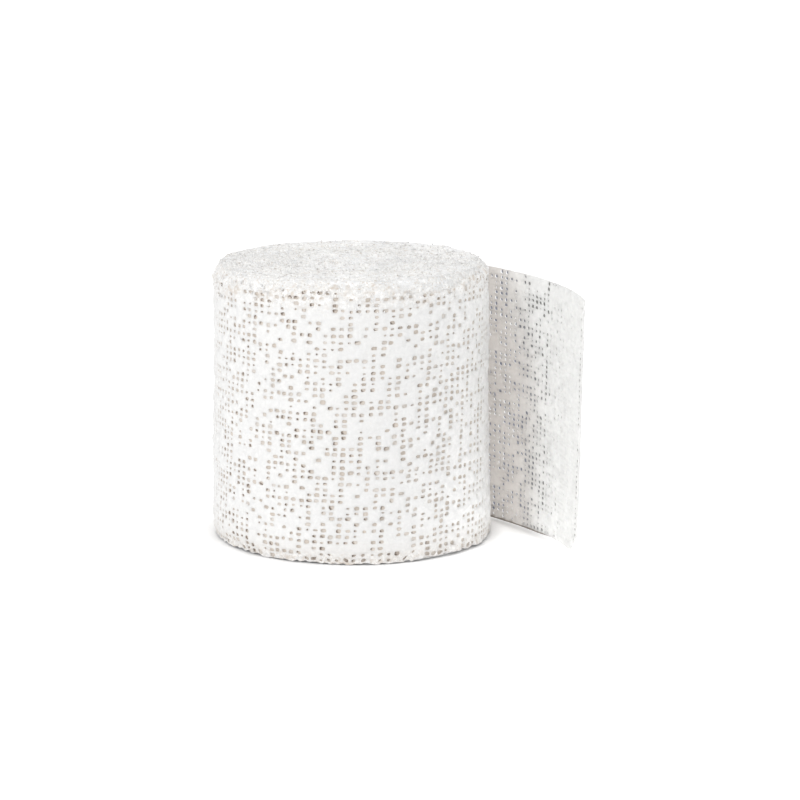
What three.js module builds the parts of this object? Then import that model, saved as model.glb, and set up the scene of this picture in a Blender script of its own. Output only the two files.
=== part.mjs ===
// A plaster bandage roll: a strip of plaster-filled gauze wound on itself with no core, standing on
// one wound end, with its outer end hanging loose at the right.
// Millimetres, +Z up. The origin is the centre of the lower wound end, and -Y is the front.
import * as THREE from 'three';
import { mergeVertices } from 'three/addons/utils/BufferGeometryUtils.js';

// Driving dimensions
const BANDAGE_WIDTH = 50;
const SHEET_THICKNESS = 1.0;
const CLEARANCE = 0.3;

// The turns wander up and down, so the roll stands higher than the bandage is wide
const ROLL_HEIGHT = 51.6;
// The radius half-way up, where the outer turn leaves the roll, and how much more it is at the foot than
// at the upper rim
const OUTER_RADIUS = 26.6;
const SIDE_LEAN = 0.6;

// The outer turn leaves the roll at this angle, counterclockwise from +X seen from above
const LEAVING_ANGLE = THREE.MathUtils.degToRad(41);
// Over one turn the strip winds in by its own thickness and the gap under it
const TURN_STEP = SHEET_THICKNESS + CLEARANCE;
// The step in the side takes up this little of the turn
const STEP_ANGLE = THREE.MathUtils.degToRad(0.6);

// The wound ends
const LOWER_ROUND = 0.8;
const UPPER_ROUND = 2.0;
const CROWN_RISE = 0.5;
const CENTRE_DIP = 0.8;
const CENTRE_REACH = 4;
const TWIST_PITCH = 4.2;
const TWIST_HEIGHT = 0.35;
// Over this much in from the rim the upper end rises to its crown
const SHOULDER = 5;
// Broad swells of the upper end: how high, and how they run across and along it
const END_SWELLS = [
  { height: 0.30, acrossX: 0.24, alongY: 0.31, phase: 1.9 },
  { height: 0.18, acrossX: 0.47, alongY: -0.38, phase: 0.7 },
];

// How finely the wound form is divided
const TURN_DIVISIONS = 100;
const SIDE_ROWS = 14;
const END_RINGS = 24;
const BASE_RINGS = 3;

// Broad swells of the side: how high, how many round the roll, and how they lean up it
const SIDE_SWELLS = [
  { height: 0.12, round: 3, lean: 0.09, phase: 0 },
  { height: 0.08, round: 5, lean: -0.16, phase: 1.3 },
];

// Soft dents in the outer turn: where, how far each reaches round and up the side, and how deep it is
const DENTS = [
  { angle: -62, height: 33, reachRound: 7.0, reachUp: 2.6, depth: 0.55 },
  { angle: -70, height: 24, reachRound: 8.0, reachUp: 2.2, depth: 0.45 },
  { angle: -55, height: 17, reachRound: 6.0, reachUp: 2.4, depth: 0.40 },
  { angle: -118, height: 12, reachRound: 9.0, reachUp: 3.0, depth: 0.35 },
  { angle: -140, height: 36, reachRound: 8.0, reachUp: 4.0, depth: 0.35 },
  { angle: 160, height: 22, reachRound: 9.0, reachUp: 3.0, depth: 0.40 },
  { angle: 95, height: 30, reachRound: 8.0, reachUp: 3.0, depth: 0.40 },
];

// The loose end, once it has run straight off the roll: a row for each place along the strip, with its
// lower and its upper edge
const STRAIGHT_RUN = 4;
const LOOSE_PLACES = [
  { lowerX: 25.9, lowerY: 9.9, lowerZ: 0.1, upperX: 26.3, upperY: 8.9, upperZ: 50.0 },
  { lowerX: 31.3, lowerY: 2.4, lowerZ: 0.1, upperX: 32.4, upperY: 0.7, upperZ: 49.8 },
  { lowerX: 35.9, lowerY: -5.6, lowerZ: 0.2, upperX: 37.5, upperY: -8.4, upperZ: 49.7 },
  { lowerX: 39.3, lowerY: -14.3, lowerZ: 0.5, upperX: 40.9, upperY: -18.2, upperZ: 49.6 },
  { lowerX: 41.4, lowerY: -23.7, lowerZ: 0.9, upperX: 42.3, upperY: -28.0, upperZ: 49.5 },
];
const FOOT_GAP = 0.1;
const LOOSE_LENGTH_DIVISIONS = 30;
const LOOSE_WIDTH_DIVISIONS = 12;
// The lower corner of the cut edge is missing: this share of the loose end's length, up to this height
const CORNER_SHARE = 0.09;
const CORNER_HEIGHT = 4.2;

const plasteredGauze = (name) => new THREE.MeshStandardMaterial({
  name,
  color: 0xf2f0ec,
  roughness: 0.9,
  metalness: 0,
});

// Points spaced evenly from one profile point to another, the last one left to what follows
function straight(from, to, steps) {
  return Array.from({ length: steps }, (_, step) => from.clone().lerp(to, step / steps));
}

// Points on a quarter circle of a profile, the last one left to what follows
function quarterRound(centre, radius, startAngle, steps) {
  return Array.from({ length: steps }, (_, step) => {
    const angle = startAngle + (step / steps) * (Math.PI / 2);
    return centre.clone().add(new THREE.Vector2(Math.cos(angle), Math.sin(angle)).multiplyScalar(radius));
  });
}

// Half the wound form in section, from the axis along the lower end, up the side and back along the
// upper end
function woundProfile() {
  const lowerRim = new THREE.Vector2(OUTER_RADIUS - LOWER_ROUND, 0);
  const sideFoot = new THREE.Vector2(OUTER_RADIUS, LOWER_ROUND);
  const sideTop = new THREE.Vector2(OUTER_RADIUS, ROLL_HEIGHT - UPPER_ROUND);
  const upperRim = new THREE.Vector2(OUTER_RADIUS - UPPER_ROUND, ROLL_HEIGHT);
  const lowerCentre = new THREE.Vector2(lowerRim.x, sideFoot.y);
  const upperCentre = new THREE.Vector2(upperRim.x, sideTop.y);
  return [
    ...straight(new THREE.Vector2(0, 0), lowerRim, BASE_RINGS),
    ...quarterRound(lowerCentre, LOWER_ROUND, -Math.PI / 2, 2),
    ...straight(sideFoot, sideTop, SIDE_ROWS),
    ...quarterRound(upperCentre, UPPER_ROUND, 0, 3),
    ...straight(upperRim, new THREE.Vector2(0, ROLL_HEIGHT), END_RINGS),
    new THREE.Vector2(0, ROLL_HEIGHT),
  ];
}

function total(values) {
  return values.reduce((sum, value) => sum + value, 0);
}

// How much further out than half-way up the side stands at a height, because the side leans
function leanAt(height) {
  return SIDE_LEAN * (0.5 - height / ROLL_HEIGHT);
}

// How far the outer turn is pressed in or bulges at a place on the side: it lies smooth where the
// loose end leaves it
function sideRelief(angle, height) {
  const fromLeaving = Math.sin((angle - LEAVING_ANGLE) / 2) ** 2;
  const swells = SIDE_SWELLS.map((swell) => swell.height
    * Math.sin(swell.round * angle + swell.lean * height + swell.phase));
  const soft = total(swells) * THREE.MathUtils.smoothstep(fromLeaving, 0.02, 0.12);
  const dents = DENTS.map((dent) => {
    const turned = angle - THREE.MathUtils.degToRad(dent.angle);
    const round = OUTER_RADIUS * Math.atan2(Math.sin(turned), Math.cos(turned)) / dent.reachRound;
    const up = (height - dent.height) / dent.reachUp;
    return dent.depth * Math.exp(-(round * round + up * up));
  });
  return soft - total(dents);
}

// How high the upper wound end stands over its rim: its crown, the dip at the axis, the
// spiral of its main twists and the turns that stand a little up or down
function endRelief(x, y) {
  const radius = Math.hypot(x, y);
  const angle = Math.atan2(y, x);
  const inFromRim = THREE.MathUtils.smoothstep(OUTER_RADIUS - radius, 0, SHOULDER);
  const dip = CENTRE_DIP * Math.exp(-((radius / CENTRE_REACH) ** 2));
  const turnsApart = THREE.MathUtils.smoothstep(radius, 1, SHOULDER);
  const twist = TWIST_HEIGHT * turnsApart * Math.cos(angle + 2 * Math.PI * radius / TWIST_PITCH);
  const swells = END_SWELLS.map((swell) => swell.height
    * Math.sin(swell.acrossX * x + swell.alongY * y + swell.phase));
  return inFromRim * (CROWN_RISE + total(swells) + twist) - dip;
}

// The wound form: the section is turned about the axis, then each column takes its radius from the
// winding, so that the last column meets the first at the step in the side
function woundRoll() {
  const profile = woundProfile();
  const geometry = new THREE.LatheGeometry(profile, TURN_DIVISIONS);
  const position = geometry.attributes.position;
  for (let index = 0; index < position.count; index += 1) {
    const column = Math.floor(index / profile.length) % TURN_DIVISIONS;
    const { x: radius, y: height } = profile[index % profile.length];
    const wound = column / (TURN_DIVISIONS - 1);
    const angle = LEAVING_ANGLE + wound * (2 * Math.PI - STEP_ANGLE);
    const onSide = (radius / OUTER_RADIUS) ** 6;
    const placed = radius + (leanAt(height) + sideRelief(angle, height) - TURN_STEP * wound) * onSide;
    const x = placed * Math.cos(angle);
    const y = placed * Math.sin(angle);
    const onUpperEnd = THREE.MathUtils.smoothstep(height, ROLL_HEIGHT - UPPER_ROUND, ROLL_HEIGHT);
    position.setXYZ(index, x, y, height + onUpperEnd * endRelief(x, y));
  }
  geometry.deleteAttribute('normal');
  geometry.deleteAttribute('uv');
  const welded = mergeVertices(geometry);
  welded.computeVertexNormals();
  return welded;
}

// A smooth line for one edge of the loose end: from the step in the side, straight off the roll, and
// through that edge's places
function looseEdge(keyX, keyY, keyZ, rootHeight) {
  const rootAngle = LEAVING_ANGLE - STEP_ANGLE - CLEARANCE / OUTER_RADIUS;
  const rootRadius = OUTER_RADIUS + leanAt(rootHeight) - SHEET_THICKNESS / 2;
  const outward = new THREE.Vector3(Math.cos(rootAngle), Math.sin(rootAngle), 0);
  const clockwise = new THREE.Vector3(outward.y, -outward.x, 0);
  const root = outward.multiplyScalar(rootRadius).setZ(rootHeight);
  const straightTo = root.clone().addScaledVector(clockwise, STRAIGHT_RUN);
  const places = LOOSE_PLACES.map((place) => new THREE.Vector3(place[keyX], place[keyY], place[keyZ]));
  return new THREE.CatmullRomCurve3([root, straightTo, ...places], false, 'centripetal');
}

// The loose end: a flat slab is bent onto the surface between its lower and upper edges, half its
// thickness to each side, and is shorter where its lower corner is missing
function looseSheet() {
  const lowerEdge = looseEdge('lowerX', 'lowerY', 'lowerZ', FOOT_GAP);
  const upperEdge = looseEdge('upperX', 'upperY', 'upperZ', FOOT_GAP + BANDAGE_WIDTH);
  const geometry = new THREE.BoxGeometry(1, SHEET_THICKNESS, BANDAGE_WIDTH,
    LOOSE_LENGTH_DIVISIONS, 1, LOOSE_WIDTH_DIVISIONS);
  const position = geometry.attributes.position;
  const bend = new THREE.Vector3();
  for (let index = 0; index < position.count; index += 1) {
    const through = position.getY(index);
    const height = position.getZ(index) + BANDAGE_WIDTH / 2;
    const missing = CORNER_SHARE * Math.max(0, 1 - height / CORNER_HEIGHT);
    const along = (position.getX(index) + 0.5) * (1 - missing);
    const share = height / BANDAGE_WIDTH;
    const middle = lowerEdge.getPoint(along).lerp(upperEdge.getPoint(along), share);
    bend.copy(lowerEdge.getTangent(along)).lerp(upperEdge.getTangent(along), share);
    bend.setZ(0).normalize();
    position.setXYZ(index, middle.x - bend.y * through, middle.y + bend.x * through, middle.z);
  }
  geometry.deleteAttribute('normal');
  geometry.deleteAttribute('uv');
  const welded = mergeVertices(geometry);
  welded.computeVertexNormals();
  return welded;
}

function piece(name, geometry) {
  const mesh = new THREE.Mesh(geometry, plasteredGauze(name));
  mesh.name = name;
  return mesh;
}

const bandageRoll = new THREE.Group();
bandageRoll.name = 'plaster_bandage_roll';
bandageRoll.add(piece('roll', woundRoll()));
bandageRoll.add(piece('loose_end', looseSheet()));

export default bandageRoll;
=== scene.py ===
"""A plaster bandage roll standing on one wound end, with its outer end hanging loose at the right.

Metres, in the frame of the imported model: +Z up, -Y the front, the roll's axis on Z. The strip of gauze is
worked out flat first: along it from the place where it leaves the roll, negative on the loose end, across
it from its lower edge, and a lift off its surface. Then it is carried onto the roll or the loose end.
"""
import math

import bpy
import numpy as np
from bpy.props import FloatProperty, FloatVectorProperty, IntProperty, PointerProperty
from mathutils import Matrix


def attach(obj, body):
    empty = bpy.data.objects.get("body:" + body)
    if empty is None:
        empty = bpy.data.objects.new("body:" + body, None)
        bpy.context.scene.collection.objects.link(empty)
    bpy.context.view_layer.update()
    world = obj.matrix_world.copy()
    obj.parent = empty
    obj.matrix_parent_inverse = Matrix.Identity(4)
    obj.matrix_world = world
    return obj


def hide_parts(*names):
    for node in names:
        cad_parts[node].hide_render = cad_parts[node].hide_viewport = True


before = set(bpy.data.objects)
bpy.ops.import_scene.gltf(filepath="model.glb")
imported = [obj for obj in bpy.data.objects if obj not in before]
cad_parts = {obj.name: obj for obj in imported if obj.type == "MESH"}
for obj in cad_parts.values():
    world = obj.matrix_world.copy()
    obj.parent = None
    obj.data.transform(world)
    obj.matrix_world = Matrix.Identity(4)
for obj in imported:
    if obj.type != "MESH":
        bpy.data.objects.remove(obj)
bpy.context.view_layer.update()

bl_info = {
    "name": "Plaster bandage roll",
    "version": (1, 0, 0),
    "blender": (4, 5, 0),
    "location": "View3D > Sidebar > Bandage",
    "description": "Builds a wound roll of plaster gauze with its wound ends and its loose end",
    "category": "Add Mesh",
}

MM = 0.001
SEED = 5
FULL_TURN = 2 * math.pi

# The strip leaves the roll at this angle, counterclockwise from +X seen from above, and winds in that way
LEAVING_ANGLE = math.radians(41)
# How far round its turn the outer surface has its mean radius
MIDDLE_OF_TURN = 0.636
# The side leans in by this much from its foot to its top
SIDE_LEAN = 0.6 * MM
# Past its curl at the rim the strip dives inwards at this slope, in radians
CURL_END = 1.75

# The strip's cells: rows across it, columns on the loose end, and on the outer turn with its overlap
ROWS = 47
LOOSE_COLUMNS = 34
TURN_COLUMNS = 110
COLUMNS = LOOSE_COLUMNS + TURN_COLUMNS
# Each cell's side has three parts, so that the ring round a hole has twelve points
PARTS = 3
RING = np.array([
    (0, 0), (1, 0), (2, 0), (3, 0), (3, 1), (3, 2), (3, 3), (2, 3), (1, 3), (0, 3), (0, 2), (0, 1),
])
# How uneven the steps from column to column and from row to row are, and the least and most of a step
STEP_JITTERS, STEP_LIMITS = (0.10, 0.07), (0.7, 1.3)
# How far the fine points are off, along and across
POINT_JITTERS = (0.10 * MM, 0.07 * MM)

# How strongly a cell is open or filled like those above and below, like those beside, and unlike those
# at its corners, and how strongly the mean state round it is kept even, over how many cells each way
LIKE_UPRIGHT, LIKE_ALONG, UNLIKE_CORNERS = 0.10, 0.05, 0.02
KEPT_EVEN, EVEN_REACH = 1.8, 3
# How much a cell leans to open, and the mean state, on the loose end and on the roll
OPEN_LEANS, EVEN_LEVELS = (0.44, 0.22), (0.50, 0.26)
# How much that lean varies from cell to cell and from column to column
CELL_SPREAD, COLUMN_SPREAD = 0.3, 0.13
# Share of open cells before the first round, rounds, and share of the cells drawn anew in each
OPEN_AT_START, RULE_ROUNDS, SHARE_DRAWN = 0.55, 60, 0.12
# How likely the cells of the uppermost rows are filled, the highest row last
TOP_FILLED = (0.15, 0.25, 0.45, 0.75)

# Lumps of the gauze in millimetres: height, cell size in cells of the strip, seed
GAUZE_LUMPS = ((0.12, 4.5, 9), (0.13, 1.7, 3), (0.06, 0.8, 4))
# Share of the lumps' height on bare threads, and how much more there is where cells are filled
LUMPS_BARE, LUMPS_FILLED = 0.6, 0.8
# How much lower the lumps are near the cut end, and between which columns that fades
END_SMOOTHNESS, SMOOTH_COLUMNS = 0.5, (6, 18)
# How much more the threads across the strip stand out near the cut end, and where that fades
RIBS, RIB_COLUMNS = 0.6, (8, 20)
# Columns, and how far the threads stand out there, in millimetres
THREAD_HEIGHTS = ((10, 18, LOOSE_COLUMNS, LOOSE_COLUMNS + 1), (0.12, 0.06, 0.06, 0.03))
# How far filled cells swell, in millimetres
FILLED_SWELL = 0.15

# Share of a full hole's size, and how often it comes
HOLE_SIZES = ((1.02, 0.36), (0.88, 0.30), (0.72, 0.20), (0.54, 0.14))
# How round the corners are, how uneven the holes' sizes, places and lips
HOLE_ROUNDNESS, HOLE_SPREAD, HOLE_DRIFT, LIP_UNEVENNESS = 3.0, 0.08, 0.05 * MM, 0.07
# On the loose end the holes are lower, and they shrink to this share between two places along it
LOOSE_HOLE_HEIGHT, LOOSE_HOLE_SHRINK = 0.98, 0.66
LOOSE_SHRINKING = (-30 * MM, -47 * MM)

# Height of the outer turn's lower edge and of its rim, by angle in degrees
FOOT_PLACES = np.array([
    (-180, 0.3), (-150, 0.5), (-120, 0.35), (-90, 0.3), (-72, 0.3), (-60, 0.5), (-48, 0.7), (-35, 0.5),
    (-20, 0.4), (40, 0.4), (90, 0.7), (135, 0.4), (180, 0.3),
])
RIM_PLACES = np.array([
    (-180, 51.9), (-140, 52.0), (-105, 52.0), (-80, 51.8), (-70, 51.2), (-62, 50.4), (-50, 50.0), (-42, 50.3),
    (-34, 51.2), (-20, 51.9), (30, 51.8), (90, 52.1), (140, 51.8), (180, 51.9),
])
# The same of the second turn
SECOND_FOOT = np.array([
    (-180, 0.15), (-150, 0.5), (-120, 0.3), (-60, 0.15), (-30, 0.15), (90, 0.3), (180, 0.15),
])
SECOND_RIM = np.array([(-180, 51.4), (-80, 51.6), (-52, 51.9), (-30, 51.7), (90, 51.5), (180, 51.4)])
# Radius of the curl at the rim, by angle in degrees
CURL_PLACES = np.array([(-180, 2.6), (-100, 2.2), (-66, 1.4), (-48, 1.3), (-20, 2.0), (60, 2.2), (180, 2.6)])
# How far the foot of the side draws in, by angle in degrees, and up to which height
DRAWN_IN_PLACES = np.array([
    (-180, 0.5), (-155, 0.8), (-120, 0.7), (-80, 0.1), (-60, 0.0), (90, 0.0), (180, 0.5),
])
DRAWN_IN_HEIGHT = 3.5 * MM
# Lumps of the side: height, cell size as a share of the radius, seed
SIDE_LUMPS = ((0.10 * MM, 0.35, 11), (0.05 * MM, 0.12, 12))
# Soft dents in the outer turn: angle in degrees, height, reach round, reach up, tilt in degrees, depth
DENTS = np.array([
    (-62.0, 33.0, 8.0, 1.3, 8.0, 0.30),
    (-70.0, 24.0, 9.0, 1.1, -6.0, 0.26),
    (-55.0, 17.0, 7.0, 1.2, 10.0, 0.28),
    (-84.0, 29.0, 7.0, 1.6, 0.0, 0.20),
    (-118.0, 12.0, 9.0, 2.2, 4.0, 0.20),
    (-140.0, 36.0, 8.0, 2.6, -5.0, 0.22),
    (160.0, 22.0, 9.0, 3.0, 0.0, 0.30),
    (95.0, 30.0, 8.0, 3.0, 6.0, 0.30),
])

# The outer turn's columns lean from upright by this angle, fully from this far along the strip
COLUMN_LEAN, LEAN_REACH = math.radians(3.5), 20 * MM
# The plaster turns crumbly between these distances from the upper edge, and its crumbs stand out by this
# much, times noises of a share, a cell size and a seed
CRUMBLY_REACH, RIM_CRUMB = (6 * MM, 1.5 * MM), 0.22 * MM
RIM_CRUMBS = ((1.0, 0.9 * MM, 5), (0.6, 0.5 * MM, 6))
# How high the low edge reaches, and how ragged it is
LOW_EDGE, RAGGED, RAGGED_CELL = 2.6 * MM, 0.25 * MM, 0.8 * MM
# Dark spots where noise of this cell size passes a start, and how dark at the rim and at the low edge
SPOT_CELL, SPOT_START, SPOT_RIM, SPOT_LOW = 0.6 * MM, 0.36, 1.3, 0.8
# Painted shade: how grey the foot is and how far up, and how grey the rim
FOOT_GREY, FOOT_GREY_REACH, RIM_GREY = 0.08, 6 * MM, 0.03
# How crumbly the side is, and what the rim and the low edge add
CRUMB_SIDE, CRUMB_RIM, CRUMB_LOW = 0.10, 0.65, 0.8
# Painted light: how white the plaster of the outer turn is by angle, from greyish at 0 to whitest at 1,
# greyer at the front, where the lights fall strongest, and whiter on the right, where the loose end keeps
# light off, and how much whiter its rim
CLEAN_PLACES = np.array([
    (-180, 0.35), (-150, 0.35), (-115, 0.2), (-90, 0.0), (-72, 0.0), (-55, 0.3), (-35, 0.75), (-10, 1.0),
    (40, 1.0), (90, 0.6), (180, 0.3),
])
CLEAN_RIM = 0.12
# Share of the greyer noise that is left where the painted light is full
CLEAN_SHADE_SHARE = 0.6

# The loose end: distance along it, headings of its lower and upper edges there in degrees, and the
# heights of these edges
LOOSE_PLACES = np.array([
    (0.0, -49.5, -49.8, 0.90, 49.75),
    (8.0, -51.5, -51.3, 0.75, 49.70),
    (16.0, -54.5, -54.3, 0.75, 49.70),
    (24.0, -61.5, -60.4, 0.80, 49.65),
    (32.0, -69.0, -67.6, 0.95, 49.60),
    (40.0, -76.5, -75.1, 1.15, 49.55),
    (48.0, -82.5, -82.3, 1.45, 49.45),
    (52.0, -85.5, -86.8, 1.60, 49.40),
])
LOOSE_LOWER_LENGTH = 47.0 * MM
LOOSE_UPPER_LENGTH = 51.2 * MM
LOOSE_STEPS = 400
# The lower corner of the cut end is missing, this far along the strip and up to this height. The columns
# make room for it over a stretch, and past the cut end by up to this share
CORNER_LENGTH = 4.6 * MM
CORNER_HEIGHT = 3.6 * MM
CORNER_BLEND, CORNER_MOST = 9.0 * MM, 1.2


def ease(value, start, end):
    """From 0 at start to 1 at end, by 3t^2 - 2t^3."""
    part = np.clip((value - start) / (end - start), 0, 1)
    return part * part * (3 - 2 * part)


def by_angle(angle, places):
    """The value of a table at an angle in radians: between its rows a blend by 3t^2 - 2t^3."""
    degrees = (np.degrees(angle) + 180) % 360 - 180
    row = np.clip(np.searchsorted(places[:, 0], degrees, side="right") - 1, 0, len(places) - 2)
    part = ease(degrees, places[row, 0], places[row + 1, 0])
    return places[row, 1] * (1 - part) + places[row + 1, 1] * part


def noise(points, cell, seed):
    """Smooth random values from -1 to 1: a hashed number at each corner of a lattice of the given cell
    size, and between the corners a blend by 3t^2 - 2t^3 along each axis."""
    scaled = np.asarray(points, float) / cell
    base = np.floor(scaled).astype(np.int64)
    part = scaled - base
    part = part * part * (3 - 2 * part)
    total = np.zeros(scaled.shape[:-1])
    for corner in np.ndindex(*(2,) * scaled.shape[-1]):
        key = np.full(total.shape, seed * 7919 + 17, np.int64)
        weight = np.ones(total.shape)
        for axis, step in enumerate(corner):
            key = (key * 1103515245 + (base[..., axis] + step) * 69069 + 12345) & 0x7FFFFFFF
            key = key ^ (key >> 13)
            weight = weight * (part[..., axis] if step else 1 - part[..., axis])
        key = (key * 1103515245 + 12345) & 0x7FFFFFFF
        total += weight * ((key >> 8) % 65536 / 32767.5 - 1)
    return total


def lumpy(points, table):
    """The sum of several noises, each row of the table a height, a cell size and a seed."""
    return sum(height * noise(points, cell, seed) for height, cell, seed in table)


def joined(layers):
    """Each quantity of several layers of points in one flat array. Each layer holds arrays of one shape, or
    single numbers that hold for all its points."""
    quantities = range(len(layers[0]))
    return [
        np.concatenate([np.broadcast_to(layer[which], layer[0].shape).ravel() for layer in layers])
        for which in quantities
    ]


def add_piece(name, points, faces, material, replaced, uv=None, **layers):
    """A smooth mesh object from points and a list of face tables, each of faces with a like number of
    corners. Points that no face uses are left out. Each layer is a number for each point."""
    corners = np.concatenate([table.ravel() for table in faces])
    counts = np.concatenate([np.full(len(table), table.shape[1]) for table in faces])
    used, corners = np.unique(corners, return_inverse=True)
    corners = corners.ravel().astype(np.int32)
    mesh = bpy.data.meshes.new(name)
    mesh.vertices.add(len(used))
    mesh.vertices.foreach_set("co", points[used].astype(np.float32).ravel())
    mesh.loops.add(len(corners))
    mesh.loops.foreach_set("vertex_index", corners)
    mesh.polygons.add(len(counts))
    mesh.polygons.foreach_set("loop_start", (np.cumsum(counts) - counts).astype(np.int32))
    if uv is not None:
        flat = uv[used][corners].astype(np.float32).ravel()
        mesh.uv_layers.new(name="Strip").uv.foreach_set("vector", flat)
    for layer, values in layers.items():
        attribute = mesh.attributes.new(layer, "FLOAT", "POINT")
        attribute.data.foreach_set("value", values[used].astype(np.float32))
    mesh.update(calc_edges=True)
    mesh.validate()
    mesh.shade_smooth()
    mesh.materials.append(material)
    piece = bpy.data.objects.new(name, mesh)
    bpy.context.scene.collection.objects.link(piece)
    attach(piece, "root")
    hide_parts(replaced)
    return piece


def grid_faces(wide, high):
    """Quads of a grid of points kept column by column, wide by high points, facing the way that the first
    direction crossed with the second one points."""
    first = (np.arange(wide - 1)[:, None] * high + np.arange(high - 1)).ravel()
    return np.stack([first, first + high, first + high + 1, first + 1], 1)


def ring_faces(outer, inner):
    """Quads between two tables of closed rings, the rings in rows."""
    return np.stack([outer, np.roll(outer, -1, 1), np.roll(inner, -1, 1), inner], 2).reshape(-1, 4)


class Strip:
    """The flat strip: a fine grid of points, which cells are open, and a ring of points round each hole."""

    def __init__(self, sizes):
        rng = np.random.default_rng(SEED)
        columns = self.running(rng, COLUMNS, STEP_JITTERS[0])
        columns = (columns - columns[LOOSE_COLUMNS]) * sizes.column_spacing
        rows = self.running(rng, ROWS, STEP_JITTERS[1])
        rows = rows * sizes.strip_width / rows[-1]
        self.open = self.open_cells(rng)
        self.high = ROWS * PARTS + 1
        fine = [np.arange(count * PARTS + 1) / PARTS for count in (COLUMNS, ROWS)]
        places = np.stack(np.meshgrid(*fine, indexing="ij"), -1)
        self.along = np.interp(places[..., 0], np.arange(COLUMNS + 1), columns)
        self.along += POINT_JITTERS[0] * noise(places, 1, 1)
        self.across = np.interp(places[..., 1], np.arange(ROWS + 1), rows)
        self.across += POINT_JITTERS[1] * noise(places, 1, 2)
        self.lift = self.relief(places, self.filled_share())
        self.holes = self.hole_rings(rng, sizes)

    @staticmethod
    def running(rng, count, jitter):
        """Running places about 1 apart, each step off by the jitter."""
        return np.concatenate([[0.0], np.cumsum(np.clip(1 + jitter * rng.normal(size=count), *STEP_LIMITS))])

    @staticmethod
    def open_cells(rng):
        """Which cells are open, 1, or filled, -1. In each round a few cells are drawn anew, a cell open with
        the chance 1 / (1 + e^(-2 pull)), its pull the weighted sum of its eight neighbours, of a lean of its
        own and of how far the mean state round it is from even. The uppermost rows are mostly filled."""
        shape = (COLUMNS, ROWS)
        state = np.where(rng.random(shape) < OPEN_AT_START, 1.0, -1.0)
        parts = (LOOSE_COLUMNS, TURN_COLUMNS)
        own, level = (np.repeat(pair, parts)[:, None] for pair in (OPEN_LEANS, EVEN_LEVELS))
        lean = own + CELL_SPREAD * rng.normal(size=shape) + COLUMN_SPREAD * rng.normal(size=(COLUMNS, 1))
        steps = range(-EVEN_REACH, EVEN_REACH + 1)
        for _ in range(RULE_ROUNDS):
            beside = [np.roll(state, 1, axis) + np.roll(state, -1, axis) for axis in (0, 1)]
            corners = np.roll(beside[0], 1, 1) + np.roll(beside[0], -1, 1)
            around = state
            for axis in (0, 1):
                around = sum(np.roll(around, step, axis) for step in steps) / len(steps)
            pull = lean + LIKE_ALONG * beside[0] + LIKE_UPRIGHT * beside[1] - UNLIKE_CORNERS * corners
            pull = pull - KEPT_EVEN * (around - level)
            drawn = np.where(rng.random(shape) < 1 / (1 + np.exp(-2 * pull)), 1.0, -1.0)
            state = np.where(rng.random(shape) < SHARE_DRAWN, drawn, state)
        state[:, -len(TOP_FILLED):][rng.random((COLUMNS, len(TOP_FILLED))) < TOP_FILLED] = -1
        return state > 0

    def filled_share(self):
        """For each fine point the share of filled cells among those round it: the mean of the cell tables
        seen from just before and just after the point, along and across."""
        steps = [np.arange(count * PARTS + 1) for count in (COLUMNS, ROWS)]
        share = 0.0
        for side in np.ndindex(2, 2):
            along, across = (
                np.clip((step - 1 + turn) // PARTS, 0, count - 1)
                for step, turn, count in zip(steps, side, (COLUMNS, ROWS))
            )
            share = share + ~self.open[np.ix_(along, across)] * 0.25
        return share

    @staticmethod
    def relief(places, filling):
        """Lift of the surface: a cosine over each cell makes the threads stand out, those across the strip
        more near the cut end, they swell where plaster fills the cells beside them, and three sizes of lumps
        lie over all, lower near the cut end."""
        column = places[..., 0]
        ribs = 1 + RIBS * (1 - ease(column, *RIB_COLUMNS))
        threads = (np.cos(FULL_TURN * places) * np.stack([ribs, 2 - ribs], -1)).sum(-1)
        lumps = lumpy(places, GAUZE_LUMPS) * (1 - END_SMOOTHNESS * (1 - ease(column, *SMOOTH_COLUMNS)))
        swell = FILLED_SWELL * filling + np.interp(column, *THREAD_HEIGHTS) * threads
        return (swell + lumps * (LUMPS_BARE + LUMPS_FILLED * filling)) * MM

    def hole_rings(self, rng, sizes):
        """A ring of twelve points for the lip of each cell's hole: along and across, the ring's square
        points over the root of their third powers' sum, so that its corners are round."""
        shape = (COLUMNS, ROWS, 1)
        cell = np.stack([self.ring(self.along), self.ring(self.across)])
        middle = cell.mean(-1, keepdims=True)
        half = (cell.max(-1, keepdims=True) - cell.min(-1, keepdims=True)) / 2
        wanted = np.array([sizes.hole_width, sizes.hole_height]).reshape(2, 1, 1, 1) / 2
        thread = np.array([sizes.upright_thread, sizes.cross_thread]).reshape(2, 1, 1, 1) / 2
        shares, chances = zip(*HOLE_SIZES)
        size = wanted * rng.choice(shares, p=chances, size=shape)
        size = np.minimum(size * (1 + HOLE_SPREAD * rng.normal(size=(2,) + shape)), half - thread)
        shrinking = ease(middle[:1, :LOOSE_COLUMNS], *LOOSE_SHRINKING)
        size[:, :LOOSE_COLUMNS] *= 1 - (1 - LOOSE_HOLE_SHRINK) * shrinking
        size[1, :LOOSE_COLUMNS] *= LOOSE_HOLE_HEIGHT
        drift = HOLE_DRIFT * rng.normal(size=(2,) + shape)
        square = (RING / PARTS * 2 - 1).T
        turned = square / (np.abs(square) ** HOLE_ROUNDNESS).sum(0) ** (1 / HOLE_ROUNDNESS)
        uneven = 1 + LIP_UNEVENNESS * rng.normal(size=(COLUMNS, ROWS, len(RING)))
        return middle + drift + size * turned[:, None, None] * uneven

    def lips(self, cells):
        """The rings of the given cells' holes: their places along the strip, and those across it."""
        return [way[cells[:, 0], cells[:, 1]] for way in self.holes]

    def ring_index(self, cells):
        """Numbers of the twelve fine points round each of the given cells."""
        along, across = (cells[:, None, axis] * PARTS + RING[:, axis] for axis in (0, 1))
        return along * self.high + across

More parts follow.
